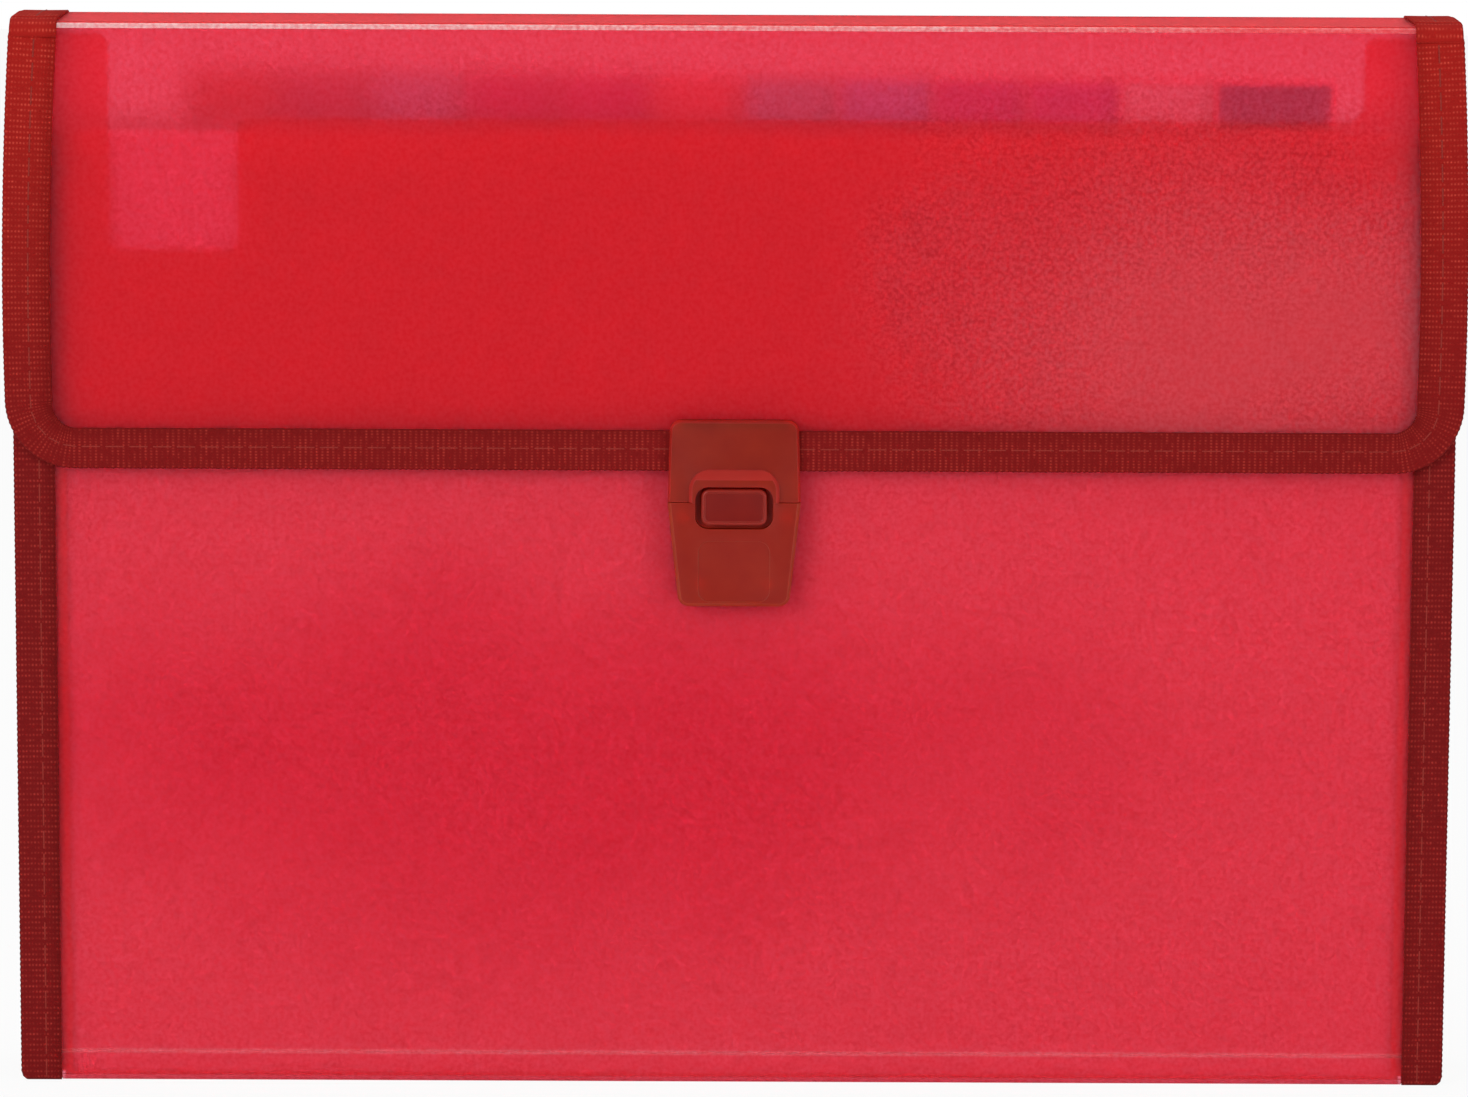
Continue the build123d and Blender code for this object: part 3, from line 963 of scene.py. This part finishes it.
# %% [markdown]
# ## The flap's binding
# The tape goes down one side of the flap, round two rounded corners and up the other side. The
# sides swell out by two millimetres, as the photographed ones do. The outline is drawn as a
# flat Bezier curve, the way one draws it by hand: each point has its place, the handle before
# it, the handle after it and how wide the tape is there, and the right half is the left one
# mirrored. Along the lower edge the tape is narrower, because it is folded less deep.
# %% Draw the flap's outline and bind it
flap_middle = (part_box("flap_sheet")[0].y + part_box("flap_sheet")[1].y) / 2 / mm
crease_radius = 1.4
corner_radius = 2.4
corner_reach = corner_radius - crease_radius + sheet_half
flap_top_half = 163.1
flap_widest_half = 165.0
flap_widest_z = 197.3
corner_start_half = 164.9
corner_start_rise = 15.0
corner_end_half = 149.6
outline_steps = 40
flap_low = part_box("flap_tape")[0].z / mm
flap_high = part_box("flap_tape")[1].z / mm - corner_reach
flap_tape_width = 10.5
low_width_share = 9.0 / flap_tape_width
corner_z = flap_low + corner_start_rise
drawn = [
    ((-flap_top_half, flap_high), (-162.0, flap_high + 14.9), (-164.0, flap_high - 13.5), 1.0),
    ((-flap_widest_half, flap_widest_z), (-164.7, 212.2), (-165.3, 184.0), 1.0),
    ((-corner_start_half, corner_z), (-165.2, flap_low + 28.3), (-164.7, flap_low + 6.7), 1.0),
    ((-corner_end_half, flap_low), (-157.9, flap_low), (-100.0, flap_low), low_width_share),
]
bpy.ops.object.select_all(action="DESELECT")
bpy.ops.curve.primitive_bezier_curve_add(location=(0, 0, 0))
outline = bpy.context.object
outline.name = "flap_outline"
outline.data.dimensions = "2D"
outline.data.resolution_u = outline_steps
outline.data.use_radius = True
spline = outline.data.splines[0]
mirrored = [
    ((-x, z), (-after_x, after_z), (-before_x, before_z), share)
    for (x, z), (before_x, before_z), (after_x, after_z), share in reversed(drawn)
]
spline.bezier_points.add(len(drawn) + len(mirrored) - len(spline.bezier_points))
for point, (place, before, after, share) in zip(spline.bezier_points, drawn + mirrored):
    point.handle_left_type = point.handle_right_type = "FREE"
    point.co = (place[0] * mm, place[1] * mm, 0)
    point.handle_left = (before[0] * mm, before[1] * mm, 0)
    point.handle_right = (after[0] * mm, after[1] * mm, 0)
    point.radius = share
bpy.context.view_layer.update()
flap_tape = binding(
    "flap_binding",
    flap_tape_width,
    spline.calc_length(),
    axes((1, 0, 0), (0, 0, 1), (0, -1, 0), (0, flap_middle, 0)),
    lid_tape_finish,
    outline,
)
bpy.data.objects.remove(outline)
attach(flap_tape, "flap")
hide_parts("flap_tape")

# %% [markdown]
# ## Straight bindings
# The lid strip and the front and back panels have straight bound sides. Each is made for the
# right side, and a Mirror modifier gives the left one. The strip's binding stands full at the
# front and is pressed flat towards the rear, where the lid folds back against the file.
# A real binding is cut a little round at its foot, so its last rows are moved in, each by less
# than the one below it.
# %% Make a straight binding
body_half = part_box("front_tape_right")[1].x / mm
panel_tape_width = (body_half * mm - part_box("front_tape_right")[0].x) / mm
foot_round = 2.4
foot_insets = ((1.7, 0.1), (1.1, 0.3), (0.5, 0.6))


def straight_binding(name, width, run, out, start_mm, length_mm, finish, body, stood_for):
    """Straight binding up or along the right side, rounded at its foot, mirrored to the left."""
    inwards = (-1, 0, 0)
    tape = binding(name, width, length_mm * mm, axes(run, inwards, out, start_mm), finish)
    bpy.ops.object.mode_set(mode="EDIT")
    for height, inset in foot_insets:
        pick(tape, lambda place: place.z < height * mm and place.x > (body_half - foot_round) * mm)
        bpy.ops.transform.translate(value=(-inset * mm, 0, 0))
    bpy.ops.object.mode_set(mode="OBJECT")
    add_modifier(tape, "MIRROR", use_axis=(True, False, False), use_mirror_merge=False)
    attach(tape, body)
    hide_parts(*stood_for)
    return tape


print("panel tape width in mm:", round(panel_tape_width, 2))

# %% Bind the lid strip
lid_half = 163.0
strip_fullness = 1.5
rear_rows = 8
strip_low, strip_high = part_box("top_strip")
strip_middle = (strip_low.z + strip_high.z) / 2 / mm
strip_start = strip_low.y / mm
strip_end = strip_high.y / mm
strip_binding = straight_binding(
    "strip_binding",
    flap_tape_width,
    (0, 1, 0),
    (0, 0, strip_fullness),
    (lid_half, strip_start + corner_reach, strip_middle),
    strip_end - strip_start - 2 * corner_reach,
    corner_tape_finish,
    "lid_strip",
    ["strip_tapes"],
)
bpy.ops.object.mode_set(mode="EDIT")
for row in range(1, rear_rows + 1):
    row_y = (strip_end - corner_reach - row * rib_pitch_mm) * mm
    pick(strip_binding, lambda place: place.y > row_y)
    bpy.ops.transform.resize(
        value=(1, 1, (1 / strip_fullness) ** (1 / rear_rows)),
        center_override=(0, 0, strip_middle * mm),
    )
bpy.ops.object.mode_set(mode="OBJECT")
print("rows pressed flat:", rear_rows)

# %% Bind the front and back panels
for side, body in (("front", "front"), ("back", "carcass")):
    low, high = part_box(side + "_tape_right")
    straight_binding(
        side + "_binding",
        panel_tape_width,
        (0, 0, 1),
        (0, -1, 0),
        (body_half, (low.y + high.y) / 2 / mm, low.z / mm),
        (high.z - low.z) / mm,
        panel_tape_finish,
        body,
        [side + "_tape_left", side + "_tape_right"],
    )

# %% [markdown]
# ## Binding over the lid's corners
# Where the lid is creased, the tape turns with it. Spinning the same U of points about the
# crease gives the turn, with a short overlap on the straight tape at both ends. At the rear the
# turn is thinner, because there the lid folds back against the file.
# %% Turn the binding over both creases
corner_steps = 8
corner_overlap = 0.3
rear_fullness = 1.0


def corner_binding(name, centre_y, turn, fullness, node):
    """A round quarter turn of folded tape over a crease, from the strip to the panel."""
    wire = folded_wire(flap_tape_width)
    way = math.copysign(1, -turn)
    start_y = centre_y - way * (corner_reach + corner_overlap)
    start_mm = (lid_half, start_y, strip_middle)
    settle(wire, axes((0, 1, 0), (-1, 0, 0), (0, 0, fullness), start_mm))
    centre = (0, (centre_y - way * corner_reach) * mm, (strip_middle - corner_radius) * mm)
    bpy.ops.object.mode_set(mode="EDIT")
    bpy.ops.mesh.select_all(action="SELECT")
    angle = -turn * (1 + 2 * corner_overlap / (abs(turn) * corner_radius))
    bpy.ops.mesh.spin(steps=corner_steps, angle=angle, center=centre, axis=(1, 0, 0))
    bpy.ops.object.mode_set(mode="OBJECT")
    layer = wire.data.uv_layers.new(name="tape")
    for loop in wire.data.loops:
        place = wire.data.vertices[loop.vertex_index].co
        round_part = math.atan2(abs(place.y - centre[1]), place.z - centre[2])
        layer.data[loop.index].uv = (round_part * corner_radius * mm, lid_half * mm - place.x)
    wire.name = name
    add_modifier(wire, "SOLIDIFY", thickness=tape_thick * mm, offset=0.0)
    add_modifier(wire, "MIRROR", use_axis=(True, False, False), use_mirror_merge=False)
    bpy.ops.object.shade_smooth()
    wire.data.materials.append(corner_tape_finish)
    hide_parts(node)
    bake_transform(wire)
    size_mm = [round(side / mm, 2) for side in wire.dimensions]
    print(name, "faces", len(wire.data.polygons), "box", size_mm)


corner_binding(
    "front_corner_binding", strip_start, math.pi / 2, strip_fullness,
    "front_corner_tapes",
)
corner_binding(
    "rear_corner_binding", strip_end, -math.pi / 2, rear_fullness,
    "rear_corner_tapes",
)

# %% [markdown]
# ## Live creases
# The lid and the foot are not hinged with separate parts: the sheet itself is creased with a
# hot bar, so the plastic is thinner and smoother there and catches a line of light. The end of
# the sheet is added as a thin plane and spun a quarter turn, and the faces low on the turn's
# outside get a near-white finish, a painted highlight for that line of light. It stops a hair
# short of the sheets, because two clear faces in one place would flicker.
# %% Spin the three creases
crease_gap = 0.03
crease_steps = 8
highlight_slope = (0.1, 0.8)
film_edge_gap = 0.05


def crease(name, half_width, centre_y, centre_z, from_z, turn, finishes, node):
    """A quarter turn of sheet about a line along X, starting above or below it."""
    low, high = sorted((from_z * crease_radius, from_z * (crease_radius - 2 * sheet_half)))
    way = math.copysign(1, -turn * from_z)
    bpy.ops.object.select_all(action="DESELECT")
    bpy.ops.mesh.primitive_plane_add(
        size=1.0,
        location=(0, (centre_y + way * crease_gap) * mm, (centre_z + (low + high) / 2) * mm),
        rotation=(math.pi / 2, 0, 0),
    )
    piece = bpy.context.object
    piece.name = name
    piece.scale = (2 * half_width * mm, 2 * sheet_half * mm, 1)
    bpy.ops.object.transform_apply(location=True, rotation=True, scale=True)
    bpy.ops.object.mode_set(mode="EDIT")
    bpy.ops.mesh.select_all(action="SELECT")
    angle = -turn * (1 - 2 * crease_gap / (abs(turn) * (crease_radius - sheet_half)))
    centre = (0, centre_y * mm, centre_z * mm)
    bpy.ops.mesh.spin(steps=crease_steps, angle=angle, center=centre, axis=(1, 0, 0))
    bpy.ops.mesh.select_all(action="SELECT")
    bpy.ops.mesh.normals_make_consistent(inside=False)
    bpy.ops.object.mode_set(mode="OBJECT")
    bpy.ops.object.shade_smooth_by_angle(angle=math.radians(35))
    for finish in finishes:
        piece.data.materials.append(finish)
    for face in piece.data.polygons:
        # Faces sloping upwards on the lid's creases get the near-white tint: painted highlight.
        face.material_index = int(highlight_slope[0] < face.normal.z * from_z < highlight_slope[1])
    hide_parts(node)
    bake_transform(piece)
    low, high = piece.bound_box[0], piece.bound_box[6]
    low_mm, high_mm = ([round(side / mm, 2) for side in corner] for corner in (low, high))
    print(name, "from", low_mm, "to", high_mm)


lid_turn_z = strip_high.z / mm - crease_radius
film_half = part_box("front_crease_film")[1].x / mm
base_half = body_half - panel_tape_width - film_edge_gap
base_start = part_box("base_panel")[0].y / mm
crease(
    "front_crease", film_half, strip_start, lid_turn_z, 1, math.pi / 2,
    (strip_finish, crease_highlight_finish), "front_crease_film",
)
crease(
    "rear_crease", film_half, strip_end, lid_turn_z, 1, -math.pi / 2,
    (strip_finish, crease_highlight_finish), "rear_crease_film",
)
crease(
    "bottom_crease", base_half, base_start, crease_radius, -1, -math.pi / 2,
    (cover_finish, cover_finish), "bottom_crease_film",
)

# %% [markdown]
# ## Pocket film
# The pockets are joined at their ends by a bellows of thin film: one outward fold for each
# pocket, with a round fold line, because film this thick never creases to an edge. One fold is
# made from a plane and mirrored to the other end of the pocket. Each pocket gets a copy of it,
# moved to its own place.
# %% Fold one pleat
film_thick = 0.22
fold_radius = 0.3
film_cuts = 3


def one_pleat(root, reach, gap, low, high):
    """A fold of film between two sheets a gap apart, from the sheets' ends out to its reach."""
    bpy.ops.object.select_all(action="DESELECT")
    bpy.ops.mesh.primitive_plane_add(
        size=1.0,
        location=((root + reach) / 2, gap / 2, (low + high) / 2),
        rotation=(math.pi / 2, 0, 0),
    )
    film = bpy.context.object
    film.scale = (reach - root, high - low, 1)
    bpy.ops.object.transform_apply(location=True, rotation=True, scale=True)
    bpy.ops.object.mode_set(mode="EDIT")
    pick(film, lambda place: place.x > (root + reach) / 2)
    bpy.ops.transform.translate(value=(0, -gap / 2, 0))
    bpy.ops.mesh.select_all(action="SELECT")
    bpy.ops.mesh.subdivide(number_cuts=film_cuts)
    bpy.ops.object.mode_set(mode="OBJECT")
    add_modifier(film, "MIRROR", use_axis=(False, True, False), merge_threshold=touch_mm * mm)
    bpy.ops.object.mode_set(mode="EDIT")
    pick(film, lambda place: place.x > reach - touch_mm * mm)
    bpy.ops.mesh.bevel(offset=fold_radius * mm, segments=3)
    bpy.ops.mesh.select_all(action="SELECT")
    bpy.ops.mesh.normals_make_consistent(inside=False)
    bpy.ops.object.mode_set(mode="OBJECT")
    add_modifier(film, "SOLIDIFY", thickness=film_thick * mm, offset=0.0)
    add_modifier(film, "MIRROR", use_axis=(True, False, False), use_mirror_merge=False)
    bpy.ops.object.shade_smooth_by_angle(angle=math.radians(50))
    return film


# %% Make the pleat
film_on_sheet = 1.5
pleat_names = sorted(name for name in nodes if name.startswith("side_pleats_"))
pleat_low, pleat_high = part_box(pleat_names[1])
pleat = one_pleat(
    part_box("divider_01")[1].x - film_on_sheet * mm,
    pleat_high.x,
    pleat_high.y - pleat_low.y - film_thick * mm,
    pleat_low.z,
    pleat_high.z,
)
print("faces of a pleat:", len(pleat.data.polygons))


for number, node_name in enumerate(pleat_names, start=1):
    low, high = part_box(node_name)
    film = pleat.copy()
    film.data = pleat.data.copy()
    film.name = f"pocket_pleat_{number:02d}"
    bpy.context.scene.collection.objects.link(film)
    settle(film, Matrix.Translation((0, (low.y + high.y) / 2, 0)))
    film.data.materials.append(pocket_finish)
    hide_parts(node_name)
    body = "front" if number == len(pleat_names) else f"pocket_{number:02d}"
    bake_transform(film)
bpy.data.objects.remove(pleat)
print("pleats:", len(pleat_names))

# %% [markdown]
# ## Pocket floor
# The pockets' floor is the same film, gathered into a low ridge between each two sheets. One
# ridge is a plane raised along its middle in three steps, each a share of the pitch in from
# the sheets and a rise in millimetres. An Array modifier repeats it, and a bisect at each end
# trims the row to the base.
# %% Gather the pocket floor
floor_cuts = 7
ridge_steps = ((0.13, 0.25), (0.26, 0.3), (0.38, 0.15))
floor_low, floor_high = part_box("pocket_floor")
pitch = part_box("divider_01")[0].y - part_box("divider_02")[0].y
first = (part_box("divider_01")[0].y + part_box("divider_01")[1].y) / 2 + pitch
bpy.ops.object.select_all(action="DESELECT")
ridge_y = first - pitch / 2
film_z = floor_low.z + film_thick / 2 * mm
bpy.ops.mesh.primitive_plane_add(size=1.0, location=(0, ridge_y, film_z))
floor = bpy.context.object
floor.name = "gathered_floor"
floor.scale = (floor_high.x - floor_low.x, pitch, 1)
bpy.ops.object.transform_apply(location=True, rotation=True, scale=True)
bpy.ops.object.mode_set(mode="EDIT")
bpy.ops.mesh.select_all(action="SELECT")
bpy.ops.mesh.subdivide(number_cuts=floor_cuts)
for share, rise in ridge_steps:
    pick(floor, lambda place: abs(place.y - ridge_y) < (0.5 - share) * pitch)
    bpy.ops.transform.translate(value=(0, 0, rise * mm))
bpy.ops.object.mode_set(mode="OBJECT")
add_modifier(
    floor,
    "ARRAY",
    count=len(pleat_names),
    use_relative_offset=False,
    use_constant_offset=True,
    constant_offset_displace=(0, -pitch, 0),
    use_merge_vertices=True,
    merge_threshold=touch_mm * mm,
)
bpy.ops.object.mode_set(mode="EDIT")
for end, way in ((floor_low.y, -1), (floor_high.y, 1)):
    bpy.ops.mesh.select_all(action="SELECT")
    bpy.ops.mesh.bisect(plane_co=(0, end, 0), plane_no=(0, way, 0), clear_outer=True)
bpy.ops.object.mode_set(mode="OBJECT")
add_modifier(floor, "SOLIDIFY", thickness=film_thick * mm, offset=0.0)
bpy.ops.object.shade_smooth_by_angle(angle=math.radians(60))
floor.data.materials.append(pocket_finish)
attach(floor, "carcass")
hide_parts("pocket_floor")
floor_size_mm = [round(side / mm, 2) for side in floor.dimensions]
print("floor faces", len(floor.data.polygons), "box", floor_size_mm)

# %% [markdown]
# ## Clasp mouldings
# The clasp's exact shapes are in the CAD model, but a moulding has no knife edges: every edge
# out of a steel mould is rounded by a few tenths of a millimetre, and that thin round is what
# catches the light. So each CAD mesh is copied, its loose triangles are merged into faces, and
# a Bevel modifier rounds what is left sharp. Where rounds meet at a small corner the bevel
# leaves slivers, and these are merged away. The rounds, and the slopes that face forwards, get
# a brighter tint of the resin, a painted highlight.
# %% Round the mouldings
same_point_mm = 0.002
flat_within = 0.5
sliver_mm = 0.02
highlight_facing = (0.2, 0.95)
round_steps = 3
sharp_angle = 28
smooth_angle = 32


def soften(node, name, body, radius_mm, finish, highlight_finish):
    """A merged copy of a CAD moulding, its rounds and forward slopes in a painted-highlight tint.
    """
    piece = bpy.data.objects.new(name, nodes[node].data.copy())
    bpy.context.scene.collection.objects.link(piece)
    only(piece)
    bpy.ops.object.mode_set(mode="EDIT")
    bpy.ops.mesh.select_all(action="SELECT")
    bpy.ops.mesh.remove_doubles(threshold=same_point_mm * mm)
    bpy.ops.mesh.dissolve_limited(angle_limit=math.radians(flat_within))
    bpy.ops.object.mode_set(mode="OBJECT")
    piece.data.materials.clear()
    piece.data.materials.append(finish)
    piece.data.materials.append(highlight_finish)
    for face in piece.data.polygons:
        # Slopes facing forwards get the lighter tint, a painted highlight.
        face.material_index = int(highlight_facing[0] < -face.normal.y < highlight_facing[1])
    add_modifier(
        piece,
        "BEVEL",
        material=1,
        width=radius_mm * mm,
        segments=round_steps,
        limit_method="ANGLE",
        angle_limit=math.radians(sharp_angle),
    )
    bpy.ops.object.mode_set(mode="EDIT")
    bpy.ops.mesh.select_all(action="SELECT")
    bpy.ops.mesh.dissolve_degenerate(threshold=sliver_mm * mm)
    bpy.ops.mesh.remove_doubles(threshold=sliver_mm * mm)
    bpy.ops.object.mode_set(mode="OBJECT")
    bpy.ops.object.shade_smooth_by_angle(angle=math.radians(smooth_angle))
    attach(piece, body)
    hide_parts(node)
    print(name, "faces", len(piece.data.polygons))


soften("hasp_plate", "hasp_moulding", "flap", 0.3, hasp_finish, hasp_highlight_finish)
soften("catch_body", "catch_moulding", "front", 0.4, catch_finish, catch_highlight_finish)
soften("push_button", "button_moulding", "button", 0.27, button_finish, button_highlight_finish)
soften("hasp_backing", "hasp_washer", "flap", 0.2, hasp_finish, hasp_highlight_finish)
soften("catch_backing", "catch_washer", "front", 0.2, catch_finish, catch_highlight_finish)

# %% [markdown]
# ## Sizes
# The visual model's box is measured here; the CAD model's box is printed at the start.
# The visual model has to stay in the CAD model's box.
# %% Measure the visual model's box
low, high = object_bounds()
